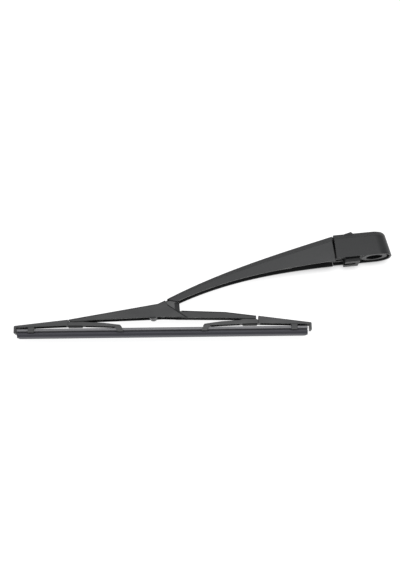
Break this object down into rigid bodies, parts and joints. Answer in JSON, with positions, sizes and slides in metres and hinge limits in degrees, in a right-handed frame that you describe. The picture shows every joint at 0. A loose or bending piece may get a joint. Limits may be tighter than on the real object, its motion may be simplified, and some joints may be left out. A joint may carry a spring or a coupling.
{
  "type": "rear wiper arm with blade",
  "caption": "Cranked moulded rear-window wiper arm with a sprung hinge and a flip-up head cover, carrying a pivoting two-level blade with a rubber wiping lip.",
  "frame": {"origin": "on the axis of the spindle bore, at its lower end where the collar recess begins", "axes": "+Z along the spindle away from the glass, -X from the spindle along the arm to the blade, +Y across the arm"},
  "size_m": [0.3925, 0.034, 0.1003],
  "materials": {
    "casting": "black coated die casting",
    "cover_plastic": "satin grained black",
    "arm_plastic": "satin grained black",
    "blade_plastic": "satin black",
    "steel": "zinc plated",
    "spring_steel": "black phosphated wire",
    "strip_steel": "dull stainless strip",
    "nylon": "natural nylon",
    "rubber": "graphite dusted black rubber"
  },
  "bodies": {
    "head": {"head": "casting", "spring_post": "steel"},
    "cover": {"head_cover": "cover_plastic"},
    "arm": {"arm": "arm_plastic", "hinge_pin": "steel", "hinge_washer_near": "nylon", "hinge_washer_far": "nylon", "spring_anchor": "steel", "tension_spring": "spring_steel", "blade_adapter": "blade_plastic"},
    "blade": {"bridge": "blade_plastic", "blade_pivot_pin": "steel", "left_yoke_pin": "steel", "right_yoke_pin": "steel", "backing_strip": "strip_steel", "rubber": "rubber"},
    "left_yoke": {"left_yoke": "blade_plastic"},
    "right_yoke": {"right_yoke": "blade_plastic"}
  },
  "joints": [
    {"name": "arm_hinge", "type": "hinge", "parent": "head", "child": "arm", "pos_m": [-0.054, 0, 0.0103], "axis": [0, 1, 0], "range_deg": [0, 55], "stiffness_Nm_per_rad": 0.5, "springref_deg": -91.67, "deforming": ["tension_spring"]},
    {"name": "cover_flip", "type": "hinge", "parent": "head", "child": "cover", "pos_m": [-0.027, 0, 0.0168], "axis": [0, -1, 0], "range_deg": [0, 50]},
    {"name": "blade_pivot", "type": "hinge", "parent": "arm", "child": "blade", "pos_m": [-0.2226, 0, -0.0377], "axis": [0, 1, 0], "range_deg": [-15, 15]},
    {"name": "left_yoke_pivot", "type": "hinge", "parent": "blade", "child": "left_yoke", "pos_m": [-0.31212, 0, -0.04004], "axis": [0, 1, 0], "range_deg": [-5, 5], "deforming": ["rubber", "backing_strip"]},
    {"name": "right_yoke_pivot", "type": "hinge", "parent": "blade", "child": "right_yoke", "pos_m": [-0.13465, 0, -0.05389], "axis": [0, 1, 0], "range_deg": [-5, 5], "deforming": ["rubber", "backing_strip"]}
  ]
}
